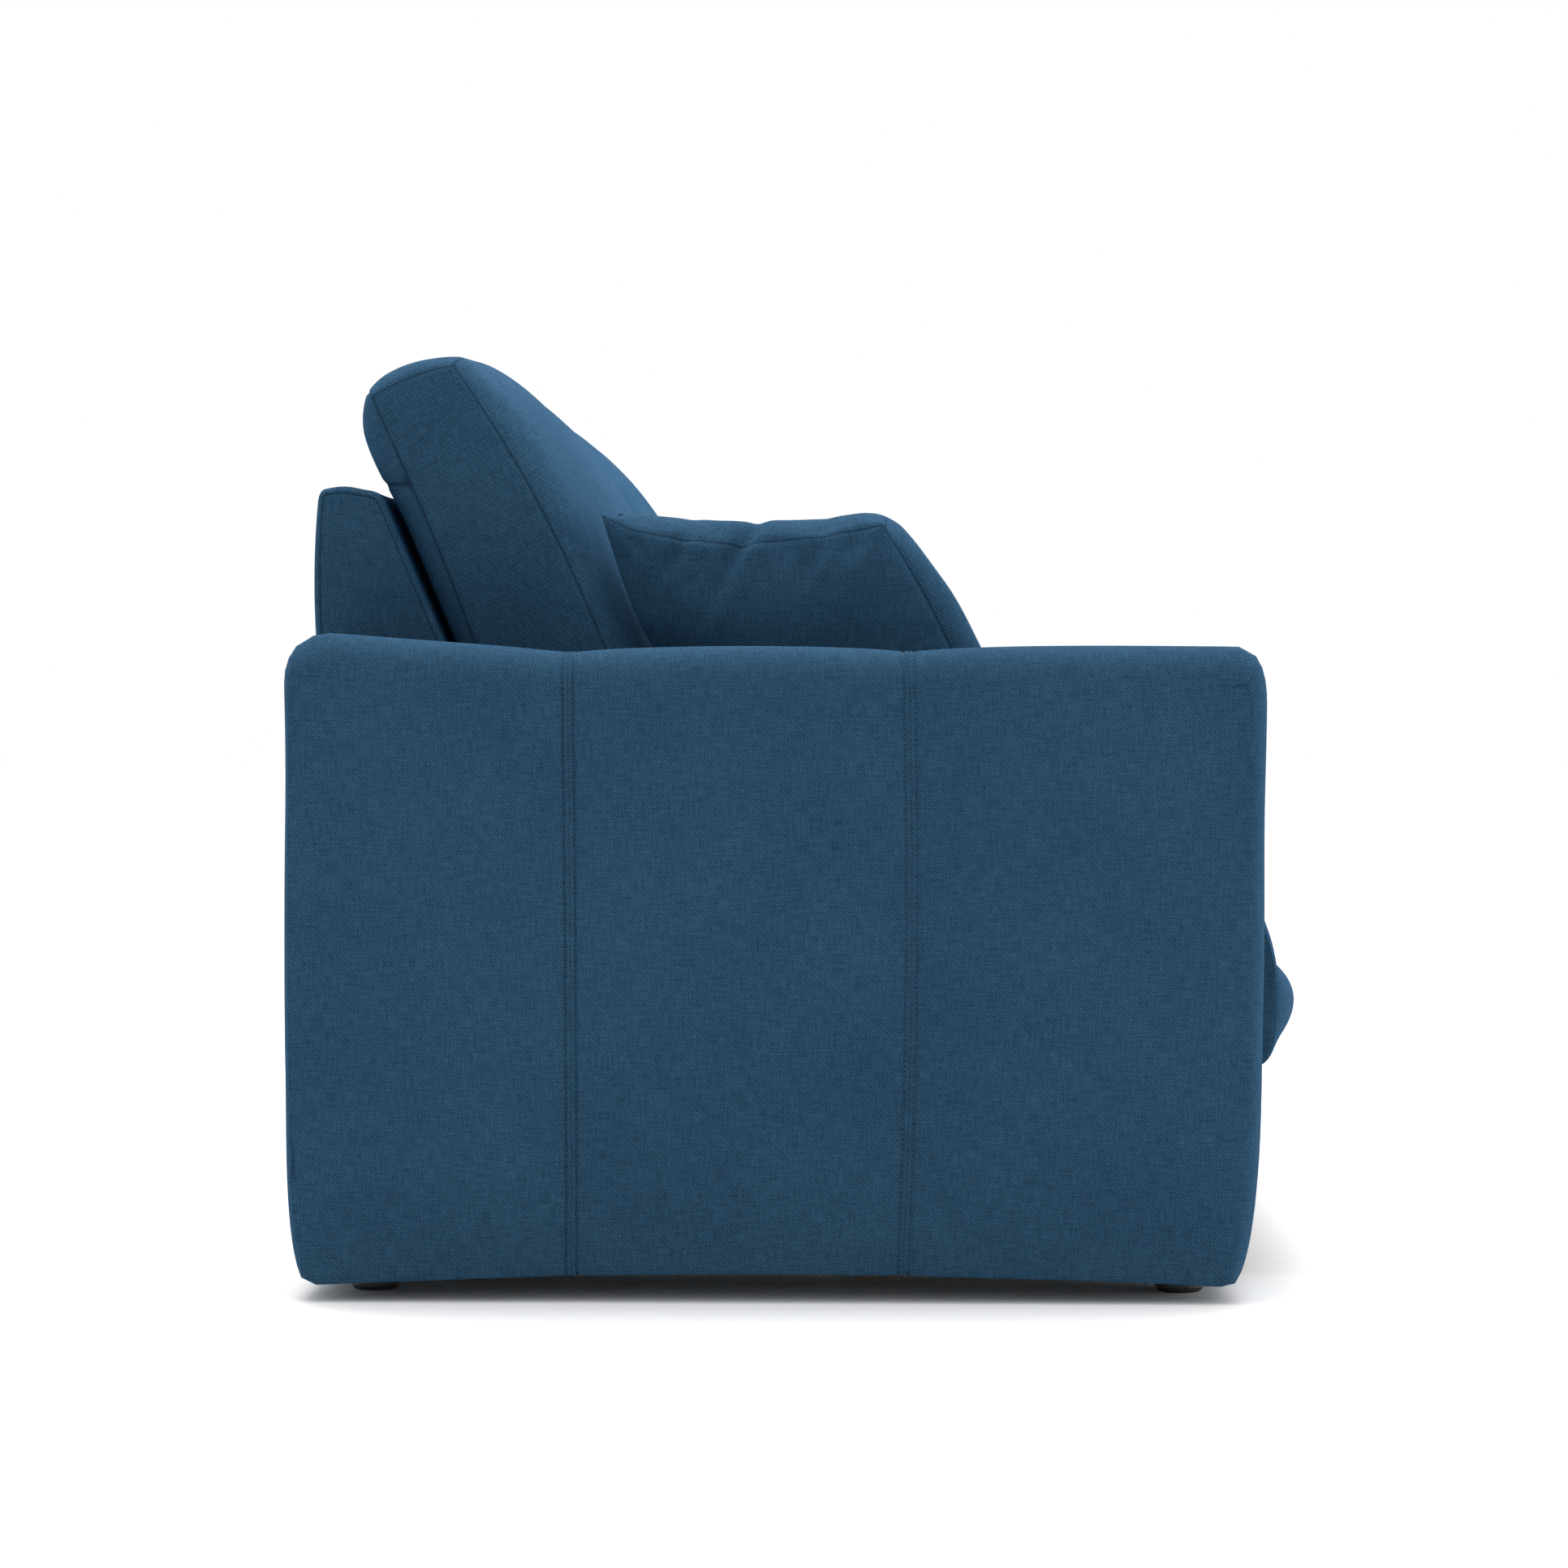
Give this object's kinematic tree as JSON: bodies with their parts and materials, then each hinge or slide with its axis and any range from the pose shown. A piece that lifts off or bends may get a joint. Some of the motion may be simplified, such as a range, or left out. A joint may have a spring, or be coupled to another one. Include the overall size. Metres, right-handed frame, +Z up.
{
  "type": "futon sofa bed",
  "caption": "Upholstered two-cushion futon sofa bed with full-depth panel arms, loose arm pillows and a back that lies flat as the seat slides forward.",
  "frame": {"origin": "centre of the bounding box at floor level", "axes": "+X towards the front of the seat, +Y towards the sitter's left, +Z up"},
  "size_m": [1.037, 2.34, 0.9561],
  "materials": {
    "upholstery": "matte",
    "frame_wood": "satin",
    "black_steel": "satin",
    "zinc_steel": "satin",
    "aluminium": "satin",
    "black_plastic": "matte",
    "wheel_rubber": "matte"
  },
  "bodies": {
    "base": {"arm_frame_right": "frame_wood", "arm_frame_left": "frame_wood", "arm_upholstery_right": "upholstery", "arm_upholstery_left": "upholstery", "mounting_board_right": "frame_wood", "mounting_board_left": "frame_wood", "glide_front_right": "black_plastic", "glide_front_left": "black_plastic", "glide_rear_right": "black_plastic", "glide_rear_left": "black_plastic", "guide_plate_right": "black_steel", "guide_plate_left": "black_steel", "outer_rail_right": "zinc_steel", "outer_rail_left": "zinc_steel", "rear_panel": "upholstery", "rear_beam": "frame_wood", "front_beam": "frame_wood"},
    "seat": {"seat_frame": "frame_wood", "seat_slat_1": "frame_wood", "seat_slat_2": "frame_wood", "seat_slat_3": "frame_wood", "seat_slat_4": "frame_wood", "seat_slat_5": "frame_wood", "seat_slat_6": "frame_wood", "seat_slat_7": "frame_wood", "seat_slat_8": "frame_wood", "front_board": "upholstery", "runner_right": "aluminium", "runner_left": "aluminium", "seat_bracket_right": "black_steel", "seat_bracket_left": "black_steel", "pivot_pin_right": "zinc_steel", "pivot_pin_left": "zinc_steel", "seat_cushion_right": "upholstery", "seat_cushion_left": "upholstery", "caster_bracket_right": "zinc_steel", "caster_bracket_left": "zinc_steel", "axle_right": "zinc_steel", "axle_left": "zinc_steel"},
    "back": {"back_shell": "upholstery", "back_frame": "frame_wood", "back_slat_1": "frame_wood", "back_slat_2": "frame_wood", "back_slat_3": "frame_wood", "hinge_arm_right": "black_steel", "hinge_arm_left": "black_steel", "hinge_bolt_lower_right": "zinc_steel", "hinge_bolt_lower_left": "zinc_steel", "hinge_bolt_upper_right": "zinc_steel", "hinge_bolt_upper_left": "zinc_steel", "cam_roller_right": "black_plastic", "cam_roller_left": "black_plastic", "back_cushion_right": "upholstery", "back_cushion_left": "upholstery"},
    "caster_wheel_right": {"wheel_right": "wheel_rubber"},
    "caster_wheel_left": {"wheel_left": "wheel_rubber"},
    "pillow_right": {"arm_pillow_right": "upholstery"},
    "pillow_left": {"arm_pillow_left": "upholstery"}
  },
  "joints": [
    {"name": "seat_slide", "type": "slide", "parent": "base", "child": "seat", "axis": [1, 0, 0], "range_m": [0, 0.22]},
    {"name": "back_recline", "type": "hinge", "parent": "seat", "child": "back", "pos_m": [-0.1115, 0, 0.45], "axis": [0, -1, 0], "range_deg": [0, 67.05]},
    {"name": "wheel_roll_right", "type": "hinge", "parent": "seat", "child": "caster_wheel_right", "pos_m": [0.4, -0.78, 0.027], "axis": [0, 1, 0], "continuous": true},
    {"name": "wheel_roll_left", "type": "hinge", "parent": "seat", "child": "caster_wheel_left", "pos_m": [0.4, 0.78, 0.027], "axis": [0, 1, 0], "continuous": true},
    {"name": "pillow_lift_right", "type": "slide", "parent": "seat", "child": "pillow_right", "axis": [0, 0, 1], "range_m": [0, 0.25]},
    {"name": "pillow_lift_left", "type": "slide", "parent": "seat", "child": "pillow_left", "axis": [0, 0, 1], "range_m": [0, 0.25]}
  ],
  "couplings": [
    {"joint": "back_recline", "follows": "seat_slide", "rad_per_m": 5.3153},
    {"joint": "wheel_roll_right", "follows": "seat_slide", "rad_per_m": 37.037},
    {"joint": "wheel_roll_left", "follows": "seat_slide", "rad_per_m": 37.037}
  ]
}
